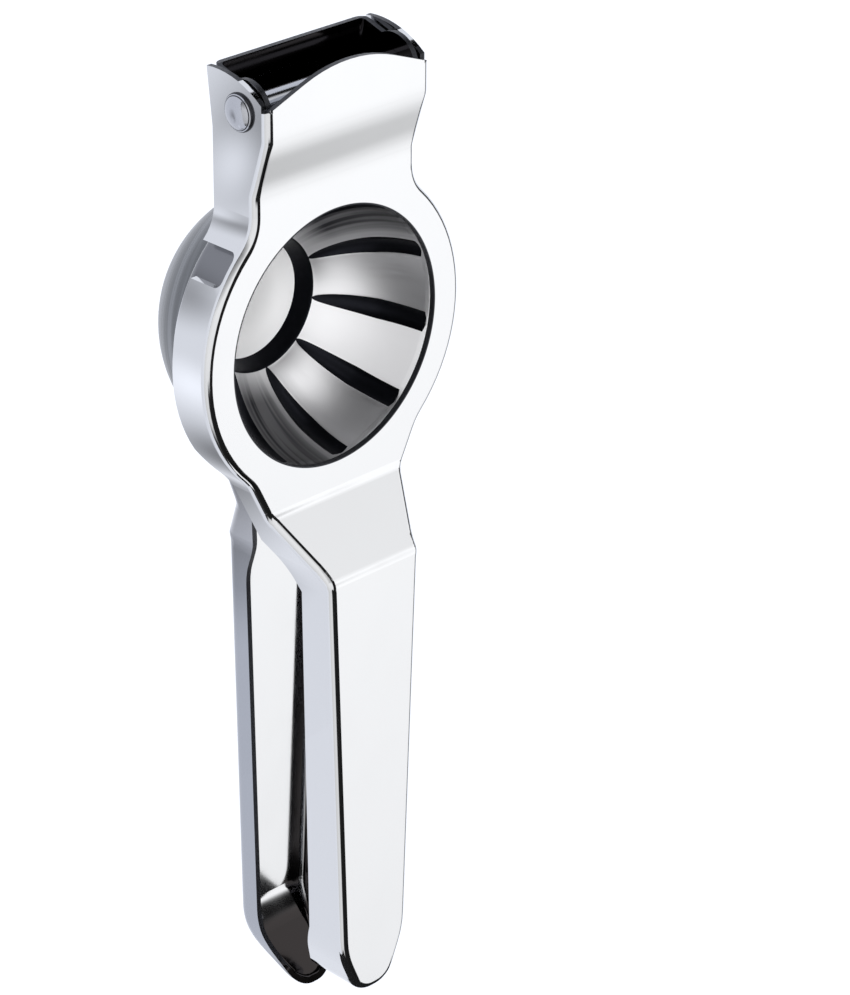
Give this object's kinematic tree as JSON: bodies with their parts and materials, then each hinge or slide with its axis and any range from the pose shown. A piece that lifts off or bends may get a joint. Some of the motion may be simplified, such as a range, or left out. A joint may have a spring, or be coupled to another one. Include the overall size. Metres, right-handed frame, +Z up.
{
  "type": "lemon squeezer",
  "caption": "Hinged hand citrus squeezer: a fluted press cup on one folded steel arm swings on a riveted pin into a perforated bowl on the other.",
  "frame": {"origin": "middle of the closed squeezer's footprint, on the table that it lies on", "axes": "+X across the arms, +Y from the handles towards the hinge, +Z up, press arm on top and bowl down"},
  "size_m": [0.0702, 0.2174, 0.0503],
  "materials": {
    "polished_steel": "mirror-polished stainless steel"
  },
  "bodies": {
    "bowl_arm": {"bowl_arm": "polished_steel", "strainer_bowl": "polished_steel"},
    "press_arm": {"press_arm": "polished_steel", "press_cup": "polished_steel", "hinge_pin": "polished_steel"}
  },
  "joints": [
    {"name": "hinge", "type": "hinge", "parent": "bowl_arm", "child": "press_arm", "pos_m": [0, 0.1004, 0.04175], "axis": [-1, 0, 0], "range_deg": [0, 95]}
  ]
}
